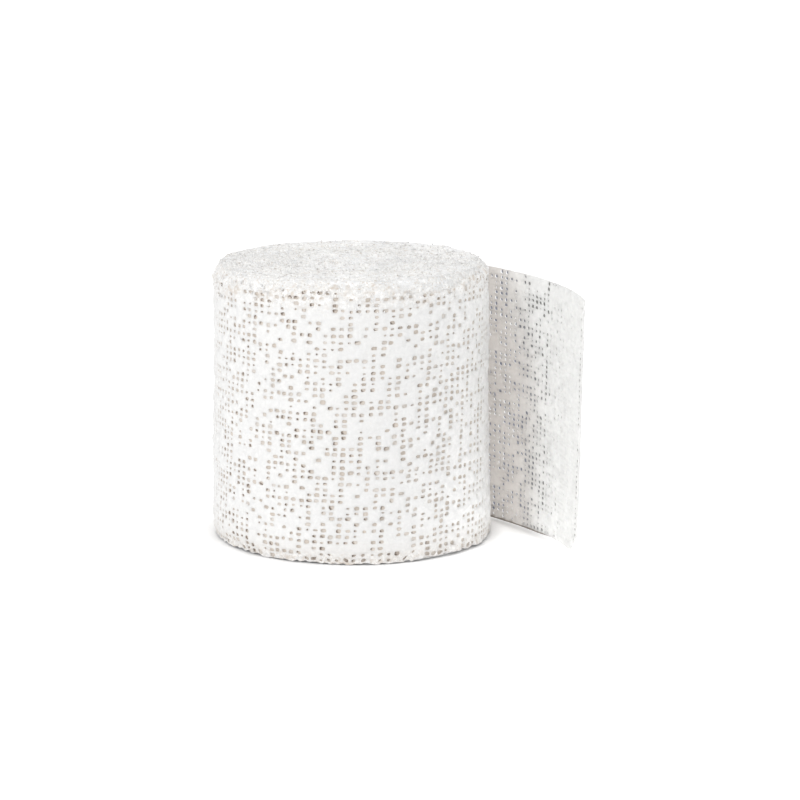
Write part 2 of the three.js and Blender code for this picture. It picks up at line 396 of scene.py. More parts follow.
    def ring(self, values):
        """Values of the fine grid at the twelve points round every cell."""
        cells = np.stack(np.meshgrid(np.arange(COLUMNS), np.arange(ROWS), indexing="ij"), -1).reshape(-1, 2)
        return values.ravel()[self.ring_index(cells)].reshape(COLUMNS, ROWS, len(RING))

    def closed_faces(self, first, last):
        """Nine quads for each filled cell from the first to the last column."""
        cells = np.argwhere(~self.open[first:last]) + (first, 0)
        steps = np.stack(np.meshgrid(np.arange(PARTS), np.arange(PARTS), indexing="ij"), -1).reshape(-1, 2)
        place = (cells[:, None] * PARTS + steps).reshape(-1, 2)
        start = place[:, 0] * self.high + place[:, 1]
        return np.stack([start, start + self.high, start + self.high + 1, start + 1], 1)


def roll_radius(angle, height, turns, sizes):
    """Radius of the strip's outer side: a spiral that comes in by one step a turn, a lean from foot to
    top, a foot that draws in, a slow unevenness and soft dents, each dent a bell along two tilted axes."""
    radius = sizes.roll_radius + sizes.turn_step * (MIDDLE_OF_TURN - turns)
    radius = radius + SIDE_LEAN * (0.5 - height / sizes.roll_height)
    radius = radius - by_angle(angle, DRAWN_IN_PLACES) * MM * (1 - ease(height, 0, DRAWN_IN_HEIGHT))
    ring = np.stack([np.cos(angle), np.sin(angle), height / sizes.roll_radius], -1)
    for lump, cell, seed in SIDE_LUMPS:
        radius = radius + lump * noise(ring, cell, seed)
    for degrees, middle, reach_round, reach_up, tilt, depth in DENTS:
        away = (np.degrees(angle) - degrees + 180) % 360 - 180
        across = np.radians(away) * sizes.roll_radius
        up = height - middle * MM
        turned = math.radians(tilt)
        first = (across * math.cos(turned) + up * math.sin(turned)) / (reach_round * MM)
        second = (up * math.cos(turned) - across * math.sin(turned)) / (reach_up * MM)
        radius = radius - depth * MM * np.exp(-first**2 - second**2)
    return radius


def on_roll(along, across, lift, sizes, foot, rim, sunk=0.0):
    """Places on the roll: the angle is the distance along over the mean radius. Upwards the strip climbs
    straight from its foot, then follows an arc inwards to its rim and runs on straight. The lift is added
    square to it."""
    angle = LEAVING_ANGLE + along / sizes.roll_radius
    turns = along / (FULL_TURN * sizes.roll_radius)
    foot_height, rim_height = by_angle(angle, foot) * MM, by_angle(angle, rim) * MM
    curl = by_angle(angle, CURL_PLACES) * MM
    straight = rim_height - curl - foot_height
    path = across * sizes.stretch
    bend = np.clip((path - straight) / curl, 0, CURL_END)
    past = np.clip(path - straight - curl * CURL_END, 0, None)
    height = foot_height + np.minimum(path, straight) + curl * np.sin(bend) + past * math.cos(CURL_END)
    radius = roll_radius(angle, height, turns, sizes) - sunk
    radius = radius - curl * (1 - np.cos(bend)) - past * math.sin(CURL_END)
    radius = radius + lift * np.cos(bend)
    height = height + lift * np.sin(bend)
    return np.stack([radius * np.cos(angle), radius * np.sin(angle), height], -1)


class LooseEnd:
    """The loose end's lower and upper edges, each followed step by step along its heading."""

    def __init__(self, sizes):
        self.steps = np.linspace(0, LOOSE_PLACES[-1, 0] * MM, LOOSE_STEPS)
        distances, lower_heading, upper_heading, lower_height, upper_height = LOOSE_PLACES.T
        distances = distances * MM
        self.width = sizes.strip_width
        self.edges = []
        for headings, heights in ((lower_heading, lower_height), (upper_heading, upper_height)):
            heading = np.radians(np.interp(self.steps, distances, headings))
            rise = np.interp(self.steps, distances, heights) * MM
            root = roll_radius(LEAVING_ANGLE, rise[0], 0.0, sizes) - sizes.sheet_thickness / 2
            ways = np.stack([np.cos(heading), np.sin(heading)], -1)
            walked = np.cumsum((ways[1:] + ways[:-1]) / 2 * np.diff(self.steps)[:, None], 0)
            start = root * np.array([math.cos(LEAVING_ANGLE), math.sin(LEAVING_ANGLE)])
            place = start + np.concatenate([[[0, 0]], walked])
            self.edges.append((place, rise, heading))

    def place(self, along, across, lift):
        """Places on the loose end: a blend of its two edges by the height on the strip. The columns draw
        together downwards, and near the cut end they also make room for the missing corner."""
        share = np.clip(across / self.width, 0, 1)
        far = -along * (1 - (1 - share) * (1 - LOOSE_LOWER_LENGTH / LOOSE_UPPER_LENGTH))
        end = LOOSE_LOWER_LENGTH * (1 - share) + LOOSE_UPPER_LENGTH * share
        missing = CORNER_LENGTH * np.clip(1 - across / CORNER_HEIGHT, 0, 1)
        far = far - missing * np.clip(1 - (end - far) / CORNER_BLEND, 0, CORNER_MOST)
        mixed = 0.0
        heading = 0.0
        for (place, rise, edge_heading), weight in zip(self.edges, (1 - share, share)):
            parts = [np.interp(far, self.steps, line) for line in (place[:, 0], place[:, 1], rise)]
            mixed = mixed + np.stack(parts, -1) * weight[..., None]
            heading = heading + np.interp(far, self.steps, edge_heading) * weight
        outwards = np.stack([-np.sin(heading), np.cos(heading), np.zeros_like(heading)], -1)
        mixed[..., 2] = np.maximum(mixed[..., 2] + np.minimum(across, 0), 0)
        return mixed + outwards * lift[..., None]


def node_material(name):
    """An empty node material, and a helper that adds a node with values on its sockets."""
    material = bpy.data.materials.new(name)
    material.use_nodes = True
    tree = material.node_tree
    tree.nodes.clear()

    def add(kind, **inputs):
        """A node, each input named with _ for a space, or by i and its number."""
        node = tree.nodes.new("ShaderNode" + kind)
        for socket, value in inputs.items():
            key = int(socket[1:]) if socket[1:].isdigit() else socket.replace("_", " ")
            if isinstance(value, bpy.types.NodeSocket):
                tree.links.new(value, node.inputs[key])
            else:
                node.inputs[key].default_value = value
        return node

    return material, add


# Noises of the plaster: how fine, in cells to a metre, and the values that become 0 and 1
GRIT_CLOUD, GRIT_TINT_CLOUD = (2100.0, 0.40, 0.72), (300.0, 0.4, 0.6)
CHALK_CLOUD, FLECK_CLOUD = (1300.0, 0.52, 0.62), (2300.0, 0.57, 0.63)
SHADE_CLOUD, SHADE_DETAIL = (900.0, 0.32, 0.68), 4.0
LUMP_SCALE, GRAIN_SCALE = 1100.0, 2600.0
# How strong the bumps of lumps, grit and grain are on the roll, on the loose end, and how deep
LUMP_BUMP, GRIT_BUMP, GRAIN_BUMP = (0.45, 0.25, 0.3 * MM), (0.5, 0.5, 0.3 * MM), (0.4, 0.2, 0.1 * MM)


def plaster_material(finish, loose=False):
    """Matt plaster: ordinary plaster and the whitest one mixed by the whiteness layer, mostly painted light,
    a greyer white mixed in by soft noise, grit and chalky flecks where the crumb layer is, painted shade in
    tan and then dark brown where the shade layer goes to half and to one, which also gives some random dark
    specks, the plug layer's painted shade in grey blue, and lumps and a fine grain in the bump. On the loose
    end the root shade layer paints the plaster darker and warmer near the roll, and a share of the light
    comes through the sheet from behind."""
    name = "Loose plaster gauze" if loose else "Plaster gauze"
    if name in bpy.data.materials:
        return bpy.data.materials[name]
    material, add = node_material(name)
    place = add("TexCoord").outputs["Object"]
    layers = {}
    for layer in ("hollow", "film", "crumb", "warm", "clean"):
        node = add("Attribute")
        node.attribute_name = layer
        layers[layer] = node.outputs["Fac"]

    def cloud(scale, low, high, detail=3.0):
        """Noise stretched so that low becomes 0 and high 1."""
        field = add("TexNoise", Vector=place, Scale=scale, Detail=detail, Roughness=0.65)
        return add("MapRange", Value=field.outputs["Fac"], From_Min=low, From_Max=high).outputs["Result"]

    def times(first, second):
        """The product of two values."""
        node = add("Math", i0=first, i1=second)
        node.operation = "MULTIPLY"
        return node.outputs["Value"]

    def mix(share, first, second):
        """A colour between two, each a colour of the settings or another node's."""
        node = add("Mix", Factor=share)
        node.data_type = "RGBA"
        for socket, colour in (("A", first), ("B", second)):
            if isinstance(colour, bpy.types.NodeSocket):
                material.node_tree.links.new(colour, node.inputs[socket])
            else:
                node.inputs[socket].default_value = (*colour, 1)
        return node.outputs["Result"]

    def bump(height, strengths, **below):
        """A bump by a height, over the normal of the bump below it if there is one."""
        on_roll_strength, on_loose_strength, depth = strengths
        strength = on_loose_strength if loose else on_roll_strength
        return add("Bump", Strength=strength, Distance=depth, Height=height, **below)

    crumbly = times(cloud(*GRIT_CLOUD), layers["crumb"])
    # Painted light, mostly: the whiteness layer mixes in the whitest plaster
    white = mix(layers["clean"], finish.plaster, finish.plaster_clean)
    # On the loose end, painted shade: darker, warmer plaster near the roll, where the roll's shadow falls
    if loose:
        white = mix(layers["warm"], finish.loose_clear, finish.loose_plaster)
    kept = add("MapRange", Value=layers["clean"], To_Min=1.0, To_Max=CLEAN_SHADE_SHARE).outputs["Result"]
    colour = mix(times(cloud(*SHADE_CLOUD, SHADE_DETAIL), kept), white, finish.plaster_shade)
    colour = mix(crumbly, colour, mix(cloud(*GRIT_TINT_CLOUD), finish.grit, finish.grit_cool))
    for flecks, tone in ((CHALK_CLOUD, finish.chalk), (FLECK_CLOUD, finish.hollow)):
        colour = mix(times(cloud(*flecks), layers["crumb"]), colour, tone)
    # Painted shade in tan and then dark brown: in the holes, the grain's hollows, at the foot and on the bar
    # under the loose end; the same colours make random dark specks
    for low, tone in ((0.0, finish.hollow), (0.5, finish.hollow_dark)):
        share = add("MapRange", Value=layers["hollow"], From_Min=low, From_Max=low + 0.5).outputs["Result"]
        colour = mix(share, colour, tone)
    film = mix(layers["warm"], finish.film_clear, finish.film)
    # Painted shade: grey blue plugs near the roll, dark grey ones near the cut end
    colour = mix(layers["film"], colour, film)
    lumps = add("TexNoise", Vector=place, Scale=LUMP_SCALE, Detail=2.0, Roughness=0.5).outputs["Fac"]
    grain = add("TexNoise", Vector=place, Scale=GRAIN_SCALE, Detail=3.0, Roughness=0.65).outputs["Fac"]
    soft = bump(lumps, LUMP_BUMP)
    rough = bump(crumbly, GRIT_BUMP, Normal=soft.outputs["Normal"])
    rough.invert = True
    normal = bump(grain, GRAIN_BUMP, Normal=rough.outputs["Normal"]).outputs["Normal"]
    shader = add(
        "BsdfPrincipled", Base_Color=colour, Roughness=finish.roughness, Normal=normal,
        Specular_IOR_Level=0.25)
    surface = shader.outputs["BSDF"]
    if loose:
        # The light through the sheet is warmer near the roll, with the painted shade
        through = mix(layers["warm"], finish.loose_clear, finish.behind)
        through = mix(layers["hollow"], mix(layers["film"], through, film), finish.hollow_dark)
        behind = add("BsdfTranslucent", Color=through, Normal=normal).outputs["BSDF"]
        surface = add("MixShader", Fac=finish.see_through, i1=surface, i2=behind).outputs["Shader"]
    add("OutputMaterial", Surface=surface)
    return material


def length(name, description, value):
    """A length among the settings."""
    return FloatProperty(name=name, description=description, default=value, unit="LENGTH")


def amount(name, description, value):
    """A number from 0 up among the settings."""
    return FloatProperty(name=name, description=description, default=value, min=0)


def share_of_one(name, description, value):
    """A number from 0 to 1 among the settings."""
    return FloatProperty(name=name, description=description, default=value, min=0, max=1, subtype="FACTOR")


def colour_of(name, description, value):
    """A colour among the settings."""
    return FloatVectorProperty(name=name, description=description, default=value, size=3, subtype="COLOR")


class BandageSizes(bpy.types.PropertyGroup):
    """Sizes of the roll and of its strip."""

    roll_radius: length("Roll radius", "Mean radius of the outer side", 26.0 * MM)
    roll_height: length("Roll height", "Height of the wound form", 51.6 * MM)
    strip_width: length("Strip width", "Width of the gauze strip", 50.0 * MM)
    stretch: FloatProperty(
        name="Stretch", default=1.033,
        description="How much wider the strip is on the roll than on its loose end")
    turn_step: length("Turn step", "How far the strip comes in with each turn", 0.85 * MM)
    sheet_thickness: length("Sheet thickness", "Thickness of the plastered gauze", 0.5 * MM)
    column_spacing: length("Column spacing", "Distance between the holes along the strip", 1.537 * MM)
    hole_width: length("Hole width", "Width of a full hole", 0.99 * MM)
    hole_height: length("Hole height", "Height of a full hole", 0.67 * MM)
    upright_thread: length("Upright thread", "Least width of the threads across the strip", 0.34 * MM)
    cross_thread: length("Long thread", "Least width of the threads along the strip", 0.24 * MM)
    end_pitch: length("End pitch", "Distance between the turns on the wound ends", 0.84 * MM)
    crumb_count: IntProperty(name="Crumbs", description="Number of loose plaster crumbs", default=3000, min=0)


class BandageFinish(bpy.types.PropertyGroup):
    """Colours of the plaster and of the hollows in the gauze."""

    plaster: colour_of("Plaster", "Ordinary plaster", (0.722, 0.72, 0.712))
    # Painted light: the whitest plaster, mixed in by the whiteness layer where less light falls on the outer
    # turn and the upper end; the crumbs' own white too
    plaster_clean: colour_of("Clean plaster", "Whitest plaster of the outer turn", (0.965, 0.963, 0.958))
    plaster_shade: colour_of("Plaster shade", "Greyer plaster", (0.70, 0.70, 0.698))
    # Painted shade: the loose end's plaster near the roll, darker and warmer, where the roll's shadow falls
    # on it
    loose_plaster: colour_of("Loose plaster", "Plaster of the loose end near the roll", (0.90, 0.885, 0.87))
    loose_clear: colour_of(
        "Clear loose plaster", "Plaster of the loose end near its cut end", (0.97, 0.97, 0.962))
    grit: colour_of("Grit", "Warm grit on the wound ends", (0.96, 0.935, 0.89))
    grit_cool: colour_of("Cool grit", "Cool grit on the wound ends", (0.90, 0.91, 0.93))
    chalk: colour_of("Chalk", "White flecks in crumbly plaster", (0.985, 0.98, 0.97))
    # Painted shade: tan in the holes, on the covered second turn and in the grain's hollows; also the tan of
    # random flecks and specks
    hollow: colour_of("Hollow", "Gauze deep in the holes", (0.63, 0.57, 0.51))
    # Painted shade: dark brown in the deepest holes and pits and on the bar under the loose end; also the
    # darkest specks
    hollow_dark: colour_of("Hollow dark", "Darkest gauze in the holes", (0.14, 0.10, 0.08))
    # Painted shade: the plugs in the loose end's holes, grey blue near the roll and dark grey near the cut
    # end, in place of the shade seen in the holes
    film: colour_of("Film", "Thin film across the loose end's holes near the roll", (0.50, 0.52, 0.60))
    film_clear: colour_of("Clear film", "Thin film across the loose end's other holes", (0.36, 0.355, 0.34))
    behind: colour_of("Behind", "Light that comes through the loose end", (0.965, 0.937, 0.908))
    see_through: share_of_one("See-through", "Share of light that comes through the loose end", 0.64)
    roughness: share_of_one("Roughness", "Roughness of the plaster", 0.9)


class BandageStudio(bpy.types.PropertyGroup):
    """Light round the roll."""

    sky: amount("Sky", "Brightness of the even light all round", 0.64)
    key: amount("Key", "Power of the light from the front left", 1.05)
    fill: amount("Fill", "Power of the wide light from the front right", 0.5)
    overhead: amount("Overhead", "Power of the wide light from above", 0.45)
    behind: amount("Behind", "Power of the wide light behind the loose end", 0.41)
    floor_colour: colour_of("Floor", "Colour of the floor", (0.95, 0.95, 0.95))
    floor_glow: amount("Floor glow", "Light that the floor adds", 0.22)
    under_glow: amount("Under glow", "Further light of the floor below the loose end", 0.35)


def on_outer_turn(along, across, lift, sizes):
    """Places on the outer turn, whose columns lean a little, whose rim is crumbly and whose lower edge is
    ragged, with the share of crumbly plaster and of the low edge at each place."""
    leaned = along + math.tan(COLUMN_LEAN) * (across - sizes.strip_width / 2) * ease(along, 0, LEAN_REACH)
    crumbly = ease(across, sizes.strip_width - CRUMBLY_REACH[0], sizes.strip_width - CRUMBLY_REACH[1])
    low = 1 - ease(across, 0, LOW_EDGE)
    crumbs = RIM_CRUMB * crumbly * lumpy(np.stack([along, across], -1), RIM_CRUMBS)
    ragged = RAGGED * low * noise(np.stack([along, along * 0], -1), RAGGED_CELL, 7)
    points = on_roll(leaned, across + ragged, lift + crumbs, sizes, FOOT_PLACES, RIM_PLACES)
    return points, crumbly, low


class BANDAGE_OT_outer_turn(bpy.types.Operator):
    """Add the outer turn: one turn of open gauze, curled in at the rim, and the floors in its holes"""

    bl_idname = "bandage.outer_turn"
    bl_label = "Outer turn"

    # How far the holes' lips lie under the surface, and how tan their painted shade is
    LIP_DROP, LIP_TINT = 0.10 * MM, 0.03
    # Least and most depth of the holes' floors and how tan their painted shade is, and their size as a share
    # of the lip
    FLOOR_DEPTHS = (0.22 * MM, 0.40 * MM)
    FLOOR_TINTS = (0.30, 0.58)
    FLOOR_SHARE = 0.92
    # How many floors have a dark pit, a painted shadow of the hole's left wall, how strong it is, how deep
    # and dark, and how its side varies
    PIT_SHARE, PIT_STRENGTHS = 0.42, (0.5, 1.0)
    PIT_DEPTH, PIT_TINT, PIT_TURNING = 0.22 * MM, 0.8, 0.5

    def execute(self, context):
        sizes, finish = context.scene.bandage_sizes, context.scene.bandage_finish
        strip = Strip(sizes)
        cells = np.argwhere(strip.open[LOOSE_COLUMNS:]) + (LOOSE_COLUMNS, 0)
        lip = strip.lips(cells)
        lips = (*lip, -self.LIP_DROP, self.LIP_TINT)
        lip_index = np.arange(lip[0].size).reshape(-1, len(RING))
        grid = (strip.along, strip.across, strip.lift, 0.0)
        walls = ring_faces(strip.ring_index(cells), lip_index + strip.along.size)
        faces = [strip.closed_faces(LOOSE_COLUMNS, COLUMNS), walls]
        piece = self.add(sizes, finish, "outer_turn", (grid, lips), faces)
        floor, middle = self.floors(lip)
        floor_index = lip_index + lip_index.size
        middle_index = np.repeat(2 * lip_index.size + np.arange(len(cells)), len(RING))
        middle_index = middle_index.reshape(lip_index.shape)
        fan = np.stack([floor_index, np.roll(floor_index, -1, 1), middle_index], 2).reshape(-1, 3)
        faces = [ring_faces(lip_index, floor_index), fan]
        self.add(sizes, finish, "hole_floors", (lips, floor, middle), faces)
        return {"FINISHED"}

    def floors(self, lip):
        """Rings of points round the floors of the holes, a little smaller than their lips, and their middle
        points, tinted tan as painted shade. Some floors fall into a dark pit on the left, deeper and painted
        as the shadow of the hole's left wall: its depth is a cosine of the way round."""
        rng = np.random.default_rng(SEED + 3)
        one = (len(lip[0]), 1)
        middle = [way.mean(-1, keepdims=True) for way in lip]
        ring = [mid + (way - mid) * self.FLOOR_SHARE for way, mid in zip(lip, middle)]
        depth = rng.uniform(*self.FLOOR_DEPTHS, one)
        tint = rng.uniform(*self.FLOOR_TINTS, one)
        pit = np.where(rng.random(one) < self.PIT_SHARE, rng.uniform(*self.PIT_STRENGTHS, one), 0)
        square = RING / PARTS * 2 - 1
        way_round = np.arctan2(square[:, 1], square[:, 0]) - math.pi - self.PIT_TURNING * rng.normal(size=one)
        pit = pit * np.clip(np.cos(way_round), 0, 1)
        floor = (*ring, -depth - self.PIT_DEPTH * pit, np.minimum(tint + self.PIT_TINT * pit, 1))
        return floor, (*middle, -depth, tint)

    @staticmethod
    def add(sizes, finish, name, layers, faces):
        """A piece of the outer turn from layers of points: along, across, lift and painted shade."""
        along, across, lift, hollow = joined(layers)
        flat = np.stack([along, across], -1)
        points, crumbly, low = on_outer_turn(along, across, lift, sizes)
        spots = np.clip(noise(flat, SPOT_CELL, 8) - SPOT_START, 0, 1)
        # Painted shade: greyer at the foot and on the rim
        grey = FOOT_GREY * (1 - ease(across, 0, FOOT_GREY_REACH)) + RIM_GREY * crumbly
        hollow = np.clip(hollow + grey + spots * (SPOT_RIM * crumbly + SPOT_LOW * low), 0, 1)
        crumb = np.clip(CRUMB_SIDE + CRUMB_RIM * crumbly + CRUMB_LOW * low, 0, 1)
        # Painted light: whiter plaster by angle, and a little on the rim
        clean = by_angle(LEAVING_ANGLE + along / sizes.roll_radius, CLEAN_PLACES)
        clean = np.clip(clean + CLEAN_RIM * crumbly, 0, 1)
        return add_piece(
            name, points, faces, plaster_material(finish), "roll", flat / sizes.strip_width, hollow=hollow,
            crumb=crumb, clean=clean)


class BANDAGE_OT_loose_end(bpy.types.Operator):
    """Add the loose end: a two-sided sheet of open gauze that hangs off the roll and curls forward"""

    bl_idname = "bandage.loose_end"
    bl_label = "Loose end"

    # Share of its thickness that the sheet has along its border, and how far the lips stand off its middle
    BORDER_SHARE, LIP_LIFT = 0.45, 0.10 * MM
    # The gap beside a hole's plug near the roll, least and most share of it, how much of it is upward, and
    # where along the strip it narrows and is gone
    PLUG_GAP, PLUG_GAP_SHARES, PLUG_GAP_UP = 0.24 * MM, (0.4, 1.25), 0.4
    PLUG_GAP_PLACES = (-28 * MM, -15 * MM)
    # The plug's back and front, and how much nearer the inner face it stands towards the cut end
    PLUG_LIFTS = (0.13 * MM, 0.07 * MM)
    PLUG_FORWARD, PLUG_FORWARD_PLACES = 0.21 * MM, (-46 * MM, -32 * MM)
    # Painted shade of the plugs: how much of it they take near the cut end, what they gain towards the roll,
    # least and most share of that gain, and where it comes
    PLUG_TINT, PLUG_TINT_GAIN, PLUG_TINT_SHARES = 0.6, 0.4, (0.6, 1.0)
    PLUG_TINT_PLACES = (-52 * MM, -39 * MM)
    # The dark bar under the lower edge, a painted contact shadow: how far it is set back, where its top is,
    # how low it hangs, how dark it is, and where along the strip it starts and is full
    UNDERSIDE_BACK, UNDERSIDE_TOP, UNDERSIDE_DROP, UNDERSIDE_TONE = 0.45 * MM, 0.2 * MM, 0.46 * MM, 0.56
    UNDERSIDE_PLACES = (-40 * MM, -27 * MM)
    # Painted shade: between these places along the strip the sheet goes from clear to the darker, warmer
    # plaster in the roll's shadow, this much sooner at its top, where that shadow is narrower
    WARM_PLACES, WARM_SOONER = (-33 * MM, -18 * MM), 7 * MM

    def execute(self, context):
        sizes, finish = context.scene.bandage_sizes, context.scene.bandage_finish
        strip = Strip(sizes)
        half = sizes.sheet_thickness / 2
        cells = np.argwhere(strip.open[:LOOSE_COLUMNS])
        lip = strip.lips(cells)
        layers, faces, border = self.sides(strip, cells, lip, half)
        self.join(layers, faces, *self.plugs(lip))
        faces.append(border)
        # The dark bar under the lower edge, a painted contact shadow
        self.join(layers, faces, *self.underside(strip, half))
        along, across, lift, film, hollow = joined(layers)
        points = LooseEnd(sizes).place(along, across, lift)
        uv = np.stack([along, across], -1) / sizes.strip_width
        # Painted shade: 1 in the roll's shadow near the root, 0 towards the cut end
        warm = ease(along - self.WARM_SOONER * ease(across / sizes.strip_width, 0.5, 1), *self.WARM_PLACES)
        piece = add_piece(
            "loose_end_gauze", points, faces, plaster_material(finish, loose=True), "loose_end", uv,
            film=film, hollow=hollow, warm=warm)
        area = sizes.strip_width * (LOOSE_LOWER_LENGTH + LOOSE_UPPER_LENGTH) / 2
        area = area - CORNER_LENGTH * CORNER_HEIGHT / 2
        return {"FINISHED"}

    @staticmethod
    def join(layers, faces, more_layers, more_faces):
        """Put further layers behind those that are there, and their faces by the numbers they get."""
        start = sum(layer[0].size for layer in layers)
        layers += more_layers
        faces += [table + start for table in more_faces]

    def sides(self, strip, cells, lip, half):
        """The sheet's two sides, each half its thickness and the relief off its middle, the walls of its
        holes between their lips, and by itself the wall round its border."""
        last = LOOSE_COLUMNS * PARTS
        along, across, relief = (way[:last + 1] for way in (strip.along, strip.across, strip.lift))
        rim = np.ones_like(relief)
        rim[0, :] = rim[:, 0] = rim[:, -1] = self.BORDER_SHARE
        layers = []
        for side in (1, -1):
            layers.append((along, across, side * (half + relief) * rim, 0.0, 0.0))
            layers.append((*lip, side * self.LIP_LIFT, 0.0, 0.0))
        other = along.size + lip[0].size
        lip_index = along.size + np.arange(lip[0].size).reshape(-1, len(RING))
        side_faces = [strip.closed_faces(0, LOOSE_COLUMNS), ring_faces(strip.ring_index(cells), lip_index)]
        numbers = np.arange(along.size).reshape(along.shape)
        border = (numbers[:, 0], numbers[-1, 1:], numbers[-2::-1, -1], numbers[0, -2:0:-1])
        border = np.concatenate(border)[None]
        faces = side_faces + [table[:, ::-1] + other for table in side_faces]
        faces.append(ring_faces(lip_index, lip_index + other))
        return layers, faces, ring_faces(border, border + other)[:, ::-1]

    def plugs(self, lip):
        """A thin plug in each hole, a sheet of painted shade: its back, its front and the wall between them.
        """
        rng = np.random.default_rng(SEED + 2)
        one = (len(lip[0]), 1)
        gap = self.PLUG_GAP * ease(lip[0], *self.PLUG_GAP_PLACES) * rng.uniform(*self.PLUG_GAP_SHARES, one)
        gain = self.PLUG_TINT_GAIN * ease(lip[0], *self.PLUG_TINT_PLACES)
        tint = self.PLUG_TINT + gain * rng.uniform(*self.PLUG_TINT_SHARES, one)
        forward = self.PLUG_FORWARD * (1 - ease(lip[0], *self.PLUG_FORWARD_PLACES))
        along, across = lip[0] - gap, lip[1] + self.PLUG_GAP_UP * gap
        layers = [(along, across, lift - forward, tint, 0.0) for lift in self.PLUG_LIFTS]
        back, front = np.arange(2 * along.size).reshape(2, -1, len(RING))
        return layers, [back, front[:, ::-1], ring_faces(front, back)]

    def underside(self, strip, half):
        """A bar along the lower edge, dark as a painted contact shadow: its four lines are the corners of its
        section, a wall runs between each two of them, and both ends are closed."""
        edge = strip.along[:LOOSE_COLUMNS * PARTS + 1, 0]
        top, back = self.UNDERSIDE_TOP, self.UNDERSIDE_BACK - half
        drop = top - (self.UNDERSIDE_DROP + top) * ease(edge, *self.UNDERSIDE_PLACES)
        section = ((top, back), (drop, back), (drop, half), (top, half))
        layers = [(edge, across, lift, 0.0, self.UNDERSIDE_TONE) for across, lift in section]
        lines = np.arange(len(section) * len(edge)).reshape(len(section), -1)
        faces = [
            np.stack([first[:-1], first[1:], second[1:], second[:-1]], 1)
            for first, second in zip(lines, np.roll(lines, -1, 0))
        ]
        return layers, faces + [lines[:, 0][None, ::-1], lines[:, -1][None]]


class BANDAGE_OT_second_turn(bpy.types.Operator):
    """Add the second turn, which shows through the holes of the outer one, tinted tan and darker in its pits
    as painted shade
    """

    bl_idname = "bandage.second_turn"
    bl_label = "Second turn"

    # Its start and end in turns, and its points along and across
    REACH, POINTS = (0.02, 1.04), (340, 105)
    # Its pits: how much the rows of cells wander over how many cells, and where noise leaves pits out
    PIT_WANDER, PIT_WANDER_CELL, PIT_CELL, PIT_START = 0.35, 2.5, 1.3, -0.25
    # Its lumps, their cell size, and the depth of its pits, heights in millimetres
    LUMP, LUMP_CELL, PIT_DEPTH = 0.10, 0.9 * MM, 0.30
    # How far it lies under the outer turn, how much less near the rim, in millimetres, and where
    SUNK, SUNK_LESS, RIM_REACH = 0.5, 0.25, (6 * MM, 2 * MM)
    # Full crumbly plaster and none: shares of the width at the top, heights at the foot, and how crumbly
    UPPER_CRUMBLY, LOWER_CRUMBLY, CRUMB = (0.97, 0.93), (0.8 * MM, 2 * MM), 0.75

    def execute(self, context):
        sizes, finish = context.scene.bandage_sizes, context.scene.bandage_finish
        along = np.linspace(*self.REACH, self.POINTS[0]) * (FULL_TURN * sizes.roll_radius)
        across = np.linspace(0, 1, self.POINTS[1]) * sizes.strip_width
        ways = np.stack(np.meshgrid(along, across, indexing="ij"), -1)
        along, across = ways[..., 0], ways[..., 1]
        cells = ways / (sizes.column_spacing, sizes.strip_width / ROWS)
        wander = self.PIT_WANDER * noise(cells, self.PIT_WANDER_CELL, 21)[..., None]
        pits = np.prod(np.cos(FULL_TURN * (cells + wander)) * 0.5 + 0.5, -1)
        pits = pits * (noise(cells, self.PIT_CELL, 22) > self.PIT_START)
        lift = (self.LUMP * noise(ways, self.LUMP_CELL, 23) - self.PIT_DEPTH * pits) * MM
        near_rim = ease(across, *(sizes.strip_width - reach for reach in self.RIM_REACH))
        sunk = (self.SUNK - self.SUNK_LESS * near_rim) * MM
        points = on_roll(along, across, lift, sizes, SECOND_FOOT, SECOND_RIM, sunk)
        open_part = ease(across / sizes.strip_width, *self.UPPER_CRUMBLY) * ease(across, *self.LOWER_CRUMBLY)
        # Painted shade: where the outer turn covers it, the second turn is tan, darker in its pits
        hollow = (0.7 + 0.3 * pits) * open_part
        add_piece(
            "second_turn", points.reshape(-1, 3), [grid_faces(*self.POINTS)], plaster_material(finish),
            "roll", ways.reshape(-1, 2) / sizes.strip_width, hollow=hollow.ravel(),
            crumb=self.CRUMB * (1 - open_part.ravel()))
        return {"FINISHED"}


